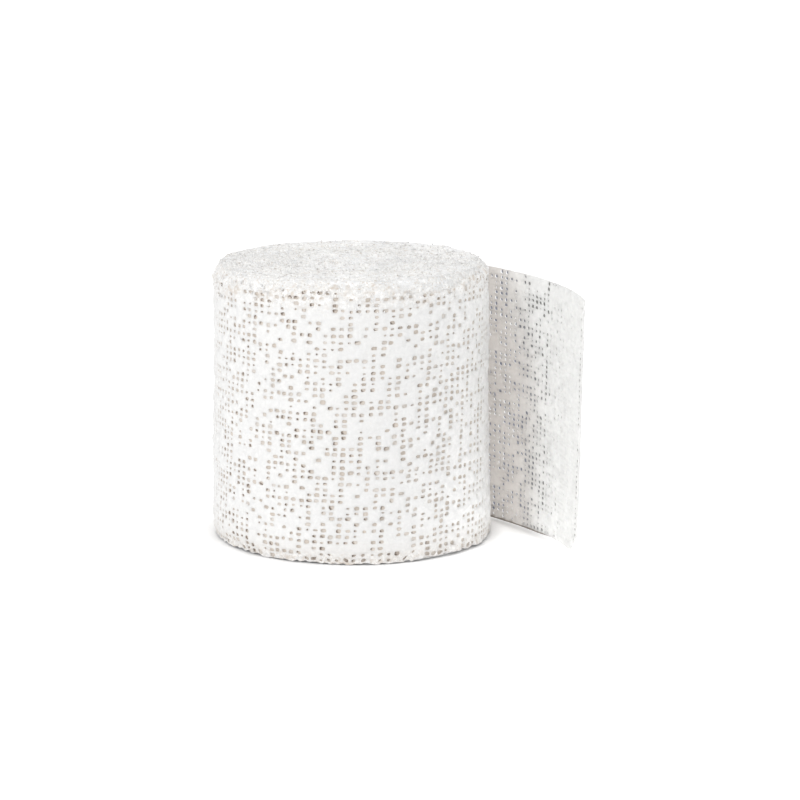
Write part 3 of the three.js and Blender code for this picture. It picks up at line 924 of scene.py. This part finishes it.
class BANDAGE_OT_wound_ends(bpy.types.Operator):
    """Add the upper and lower wound ends: the strip's edges as a long spiral of crumbly ridges"""

    bl_idname = "bandage.wound_ends"
    bl_label = "Wound ends"

    # Each end's name, its side, its step along the spiral, and how far in from the outer turn it starts
    ENDS = (("upper_end", 1, 0.27 * MM, 1.2 * MM), ("lower_end", -1, 0.8 * MM, 3.5 * MM))
    # The innermost turn's radius in turns, the strip's width in turns, and its points across
    INNERMOST, OVERLAP, POINTS_ACROSS = 1.2, 1.5, 6
    # The turns wander sideways by this much, over this cell size
    SIDEWAYS, SIDEWAYS_CELL = 0.5 * MM, 4 * MM
    # Heights of a ridge, of its wander, of the grain, and how deep its edges dive, in millimetres
    RIDGE, WANDER, GRAIN, DIVE = 0.17, 0.08, 0.12, 0.25
    # How far the upper end's ridges are sunk. The lower end's point down from this height, by this share
    UPPER_SINK, LOWER_RISE, LOWER_SHARE = 0.3 * MM, 0.4 * MM, 0.5
    # Painted shade in the grain's hollows, where it falls below this, and how dark
    HOLLOW_START, HOLLOW_DEPTH = -0.55, 0.5
    # How far the middle point is sunk and how dark its painted shade is, how many more steps its fan covers
    # than one turn, and which of the points across the fan's rim is
    MIDDLE_DROP, MIDDLE_HOLLOW, FAN_MORE, FAN_POINT = 0.05 * MM, 0.1, 8, 2
    # How crumbly the ends are, how white, painted light against the shade of their grain, how much that
    # varies, how much greyer near the rim, and where
    CRUMB, CLEAN, CLEAN_SPREAD, RIM_GREYER = 0.78, 0.9, 0.4, 0.7
    NEAR_RIM = (-2.8 * MM, -1.2 * MM)

    # Height of the lower end over the floor, and of the upper one over the roll's height in millimetres
    LOWER_LEVEL, UPPER_LEVEL = 0.06 * MM, 0.6
    # Slow swells in millimetres: height, cell size, seed. They fade between two distances in from the rim
    SWELLS, SWELL_REACH = ((0.45, 14 * MM, 36), (0.2, 5 * MM, 37)), (7 * MM, 1.5 * MM)
    # A low rise beside the rim, and where it climbs
    BESIDE, BESIDE_REACH = 0.25, (5 * MM, 2 * MM)
    # The skirt under the rim, and where it falls
    SKIRT, SKIRT_REACH = 2.0, (1.5 * MM, 0.4 * MM)
    # Start and end of the flattened core, and its trough: depths and reaches
    CORE = ((-8.0, -3.4), (2.2, 3.6))
    TROUGH = ((0.5, 4 * MM), (0.55, 1.6 * MM))
    # Distance between the main ridges, each a group of turns, half their height, and how they wander
    MAIN_RIDGE_STEP, MAIN_RIDGE, MAIN_WANDER = 4.2 * MM, 0.13 * MM, 0.5

    def execute(self, context):
        sizes, finish = context.scene.bandage_sizes, context.scene.bandage_finish
        for name, side, step, inset in self.ENDS:
            points, faces, hollow = self.spiral(sizes, side, step, inset)
            crumb = np.full(len(points), self.CRUMB)
            near_rim = ease(np.linalg.norm(points[:, :2], axis=1) - sizes.roll_radius, *self.NEAR_RIM)
            # Painted light: the ends are made whiter against the shade of their grain, with a random spread,
            # and greyer near the rim
            spread = self.CLEAN_SPREAD * noise(points[:, :2], 5 * MM, 38)
            clean = np.clip(self.CLEAN + spread - self.RIM_GREYER * near_rim, 0, 1)
            add_piece(
                name, points, faces, plaster_material(finish), "roll", hollow=hollow, crumb=crumb,
                clean=clean)
        return {"FINISHED"}

    def spiral(self, sizes, side, step, inset):
        """A strip along a spiral, its steps of even length: across it a low arch whose edges dive under the
        next turns, along it the ridge wanders in height, and crumbs lie over all. The innermost turn closes
        on the axis."""
        pitch = sizes.end_pitch
        outside = sizes.roll_radius + sizes.turn_step * MIDDLE_OF_TURN - inset
        inside = self.INNERMOST * pitch
        count = int(math.pi * (outside**2 - inside**2) / pitch / step)
        radius = np.sqrt(np.linspace(outside**2, inside**2, count))
        radius, shift = np.meshgrid(radius, np.linspace(-0.5, 0.5, self.POINTS_ACROSS), indexing="ij")
        turns = (outside - radius) / pitch
        angle = LEAVING_ANGLE + FULL_TURN * turns
        place = np.stack([np.cos(angle), np.sin(angle)], -1)
        place = place * (radius + shift * pitch * self.OVERLAP)[..., None]
        sideways = np.stack([noise(place, self.SIDEWAYS_CELL, seed) for seed in (31, 32)], -1)
        place = place + self.SIDEWAYS * sideways
        ridge = 1 - np.abs(2 * shift) ** 2.2
        wander = noise(np.stack([turns * 1.7, radius * angle / (4 * MM)], -1), 1.0, 33)
        threads = np.stack([radius + shift * pitch, radius * angle / 3], -1)
        grain = 0.7 * noise(place, 1.0 * MM, 34) + 0.8 * noise(threads, 0.45 * MM, 35)
        level = self.level(place, sizes, side)
        rise = self.RIDGE * ridge + self.WANDER * wander + self.GRAIN * grain
        rise = (rise - self.DIVE * (np.abs(shift) > 0.45)) * MM
        if side > 0:
            height = level + (rise - self.UPPER_SINK)
            middle = [0, 0, level[-1].mean() - self.MIDDLE_DROP]
        else:
            height = np.maximum(level + (self.LOWER_RISE - rise) * self.LOWER_SHARE, 0)
            middle = [0, 0, level.min()]
        points = np.concatenate([place, height[..., None]], -1).reshape(-1, 3)
        # Painted shade where the grain is low
        hollow = np.clip(self.HOLLOW_START - grain, 0, 1) * self.HOLLOW_DEPTH
        first = count - int(FULL_TURN * inside / step) - self.FAN_MORE
        rim = np.arange(first, count) * self.POINTS_ACROSS + self.FAN_POINT
        fan = np.stack([rim[:-1], rim[1:], np.full(len(rim) - 1, len(points))], 1)
        faces = [table[:, ::side] for table in (grid_faces(count, self.POINTS_ACROSS), fan)]
        points = np.concatenate([points, [middle]])
        return points, faces, np.concatenate([hollow.ravel(), [self.MIDDLE_HOLLOW]])

    @classmethod
    def level(cls, place, sizes, side):
        """Mean height of an end: the lower one almost flat on the floor, the upper one with slow swells, main
        ridges as a cosine across the turns, a skirt that falls under the rim, whose radius is the spiral's,
        and a trough along the flattened core, a sum of two bells."""
        away = np.linalg.norm(place, axis=-1)
        if side < 0:
            return np.full(away.shape, cls.LOWER_LEVEL)
        turned = (np.arctan2(place[..., 1], place[..., 0]) - LEAVING_ANGLE) / FULL_TURN % 1
        edge = sizes.roll_radius + sizes.turn_step * (MIDDLE_OF_TURN - turned)
        inner = 1 - ease(away, *(sizes.roll_radius - reach for reach in cls.SWELL_REACH))
        swell = lumpy(place, cls.SWELLS)
        beside = cls.BESIDE * ease(away, *(sizes.roll_radius - reach for reach in cls.BESIDE_REACH))
        skirt = cls.SKIRT * ease(away, *(edge - reach for reach in cls.SKIRT_REACH))
        start, end = np.array(cls.CORE) * MM
        part = np.clip(((place - start) * (end - start)).sum(-1) / ((end - start) ** 2).sum(), 0, 1)
        aside = np.linalg.norm(place - start - part[..., None] * (end - start), axis=-1)
        dip = sum(depth * np.exp(-((aside / reach) ** 2)) for depth, reach in cls.TROUGH)
        wander = cls.MAIN_WANDER * noise(place, 9 * MM, 39)
        main = cls.MAIN_RIDGE * inner * np.cos(FULL_TURN * (away / cls.MAIN_RIDGE_STEP + turned + wander))
        return sizes.roll_height + main + (cls.UPPER_LEVEL + swell * inner + beside - skirt - dip) * MM


class BANDAGE_OT_crumbs(bpy.types.Operator):
    """Add loose crumbs of plaster on the upper end and along the rim"""

    bl_idname = "bandage.crumbs"
    bl_label = "Crumbs"

    # A crumb is a rough ball of this many points round and rings, its poles cut flat at these shares
    ROUND, RINGS, POLES = 7, 4, (0.16, 0.84)
    # Its least and most size, how uneven that is along each axis, and how rough it is
    SIZES, UNEVEN, ROUGH = (0.06, 0.18), (0.7, 1.3), 0.3
    # How far in from the rim those on the upper end stay, and how deep they sit
    RIM_MARGIN, SET_IN = 1.5 * MM, 0.02 * MM
    # Share of those on the rim, how far down the side they mostly reach, and how far they stand off it
    ON_RIM, RIM_REACH, RIM_LIFT = 0.45, 1.4 * MM, 0.04 * MM

    def execute(self, context):
        sizes, finish = context.scene.bandage_sizes, context.scene.bandage_finish
        rng = np.random.default_rng(SEED + 1)
        count = sizes.crumb_count
        ball = self.ball()
        away = np.sqrt(rng.random(count)) * (sizes.roll_radius - self.RIM_MARGIN)
        angle = rng.random(count) * FULL_TURN
        size = MM * rng.uniform(*self.SIZES, (count, 1, 1)) * rng.uniform(*self.UNEVEN, (count, 1, 3))
        lump = ball * size * (1 + self.ROUGH * rng.normal(size=(count, len(ball), 1)))
        middle = np.stack([away * np.cos(angle), away * np.sin(angle), np.zeros(count)], -1)
        middle[:, 2] = BANDAGE_OT_wound_ends.level(middle[:, :2], sizes, 1) - self.SET_IN
        on_rim = rng.random(count) < self.ON_RIM
        along = rng.random(on_rim.sum()) * FULL_TURN * sizes.roll_radius
        across = sizes.strip_width - rng.exponential(self.RIM_REACH, on_rim.sum())
        lift = np.full(len(along), self.RIM_LIFT)
        middle[on_rim] = on_roll(along, across, lift, sizes, FOOT_PLACES, RIM_PLACES)
        points = (lump + middle[:, None]).reshape(-1, 3)
        numbers = np.arange(len(points)).reshape(count, self.RINGS, self.ROUND)
        faces = [ring_faces(numbers[:, ring + 1], numbers[:, ring]) for ring in range(self.RINGS - 1)]
        faces += [numbers[:, 0], numbers[:, -1, ::-1]]
        crumb = np.repeat(rng.random(count), len(ball))
        clean = np.ones(len(points))
        add_piece("crumbs", points, faces, plaster_material(finish), "roll", crumb=crumb, clean=clean)
        return {"FINISHED"}

    def ball(self):
        """Points of a ball of radius 1 in rings, each ring at an even step from pole to pole."""
        turn = np.linspace(0, FULL_TURN, self.ROUND, endpoint=False)
        tip = np.linspace(*self.POLES, self.RINGS)[:, None] * math.pi
        rings = [np.sin(tip) * np.cos(turn), np.sin(tip) * np.sin(turn), np.cos(tip) * np.ones(self.ROUND)]
        return np.stack(rings, -1).reshape(-1, 3)


class BANDAGE_OT_stage(bpy.types.Operator):
    """Add the floor, the light and the camera"""

    bl_idname = "bandage.stage"
    bl_label = "Stage"

    CAMERA_PLACE = (9.02 * MM, -538.8 * MM, 136.85 * MM)
    # Downwards, in degrees
    CAMERA_TILT = 11.68
    # Both in millimetres
    CAMERA_LENS, CAMERA_SENSOR = 130.5, 36
    CAMERA_CLIP = 10 * MM
    # Each light's name, and in degrees its width, its turn from the front to the right, and its height
    LIGHTS = (("Key", 14, -46, 30), ("Fill", 50, 38, 20), ("Overhead", 50, -30, 78), ("Behind", 60, 112, 25))
    # Half the floor's width, and the part with a fine grid: from where, to where, how many lines
    FLOOR_HALF, FLOOR_FINE = 4.0, (-80 * MM, 100 * MM, 181)
    # How far the shade at the foot reaches, and the patch of stronger glow, painted light that washes out the
    # shadow on the floor below the loose end
    SHADE_REACH = 2.5 * MM
    PATCH_PLACE, PATCH_REACH = (34 * MM, -8 * MM), 30 * MM

    def execute(self, context):
        studio = context.scene.bandage_studio
        camera = bpy.data.objects.new("Camera", bpy.data.cameras.new("Camera"))
        camera.data.lens = self.CAMERA_LENS
        camera.data.sensor_width = self.CAMERA_SENSOR
        camera.data.clip_start = self.CAMERA_CLIP
        camera.location = self.CAMERA_PLACE
        camera.rotation_euler = (math.radians(90 - self.CAMERA_TILT), 0, 0)
        context.scene.collection.objects.link(camera)
        context.scene.camera = camera
        self.floor(context, studio)
        powers = (studio.key, studio.fill, studio.overhead, studio.behind)
        for (name, wide, from_right, high), power in zip(self.LIGHTS, powers):
            light = bpy.data.lights.new(name, "SUN")
            light.energy = power
            light.angle = math.radians(wide)
            lamp = bpy.data.objects.new(name, light)
            lamp.rotation_euler = (math.radians(90 - high), 0, math.radians(from_right))
            context.scene.collection.objects.link(lamp)
        world = bpy.data.worlds.new("Studio")
        world.use_nodes = True
        background = world.node_tree.nodes["Background"]
        background.inputs["Color"].default_value = (1, 1, 1, 1)
        background.inputs["Strength"].default_value = studio.sky
        context.scene.world = world
        context.scene.view_settings.view_transform = "Standard"
        return {"FINISHED"}

    def floor(self, context, studio):
        """A wide flat floor of uneven squares that glows and burns out to white. The glow fades towards the
        roll's foot and the loose end's lower edge, by e to the power of the distance over a reach, so that
        their shade is left. It is stronger below the loose end, painted light that washes out the shadow
        there."""
        lines = np.concatenate([[-self.FLOOR_HALF], np.linspace(*self.FLOOR_FINE), [self.FLOOR_HALF]])
        places = np.stack(np.meshgrid(lines, lines, indexing="ij"), -1)
        sizes = context.scene.bandage_sizes
        near = np.abs(np.linalg.norm(places, axis=-1) - sizes.roll_radius)
        lower_edge = LooseEnd(sizes).edges[0][0]
        for place in lower_edge[:LOOSE_STEPS * 3 // 5:8]:
            near = np.minimum(near, np.linalg.norm(places - place, axis=-1))
        patch = np.exp(-((np.linalg.norm(places - self.PATCH_PLACE, axis=-1) / self.PATCH_REACH) ** 4))
        glow = (studio.floor_glow + studio.under_glow * patch) * (1 - np.exp(-near / self.SHADE_REACH))
        mesh = bpy.data.meshes.new("floor")
        points = np.concatenate([places, places[..., :1] * 0], -1).reshape(-1, 3)
        mesh.from_pydata(points.tolist(), [], grid_faces(len(lines), len(lines)).tolist())
        layer = mesh.attributes.new("glow", "FLOAT", "POINT")
        layer.data.foreach_set("value", glow.ravel().astype(np.float32))
        material, add = node_material("Floor")
        strength = add("Attribute")
        strength.attribute_name = "glow"
        shader = add(
            "BsdfPrincipled", Base_Color=(*studio.floor_colour, 1), Roughness=0.9, Specular_IOR_Level=0.1,
            Emission_Color=(1, 1, 1, 1), Emission_Strength=strength.outputs["Fac"])
        add("OutputMaterial", Surface=shader.outputs["BSDF"])
        mesh.materials.append(material)
        floor = bpy.data.objects.new("floor", mesh)
        context.scene.collection.objects.link(floor)


class BANDAGE_PT_panel(bpy.types.Panel):
    """Sizes, colours and steps of the bandage roll"""

    bl_label = "Bandage roll"
    bl_idname = "BANDAGE_PT_panel"
    bl_space_type = "VIEW_3D"
    bl_region_type = "UI"
    bl_category = "Bandage"

    def draw(self, context):
        scene = context.scene
        for group in (scene.bandage_sizes, scene.bandage_finish, scene.bandage_studio):
            box = self.layout.box()
            for name in group.__annotations__:
                box.prop(group, name)
        for operator in OPERATORS:
            self.layout.operator(operator.bl_idname)


OPERATORS = (
    BANDAGE_OT_stage,
    BANDAGE_OT_outer_turn,
    BANDAGE_OT_loose_end,
    BANDAGE_OT_second_turn,
    BANDAGE_OT_wound_ends,
    BANDAGE_OT_crumbs,
)
CLASSES = (BandageSizes, BandageFinish, BandageStudio, *OPERATORS, BANDAGE_PT_panel)


def register():
    """Register the classes and put the three groups of settings on the scene."""
    for each in CLASSES:
        bpy.utils.register_class(each)
    bpy.types.Scene.bandage_sizes = PointerProperty(type=BandageSizes)
    bpy.types.Scene.bandage_finish = PointerProperty(type=BandageFinish)
    bpy.types.Scene.bandage_studio = PointerProperty(type=BandageStudio)


def unregister():
    """Take the settings off the scene and unregister the classes."""
    del bpy.types.Scene.bandage_sizes, bpy.types.Scene.bandage_finish, bpy.types.Scene.bandage_studio
    for each in reversed(CLASSES):
        bpy.utils.unregister_class(each)


def main():
    register()
    bpy.ops.bandage.stage()
    bpy.ops.bandage.outer_turn()
    bpy.ops.bandage.loose_end()
    bpy.ops.bandage.second_turn()
    bpy.ops.bandage.wound_ends()
    bpy.ops.bandage.crumbs()
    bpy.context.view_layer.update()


if __name__ == "__main__":
    main()
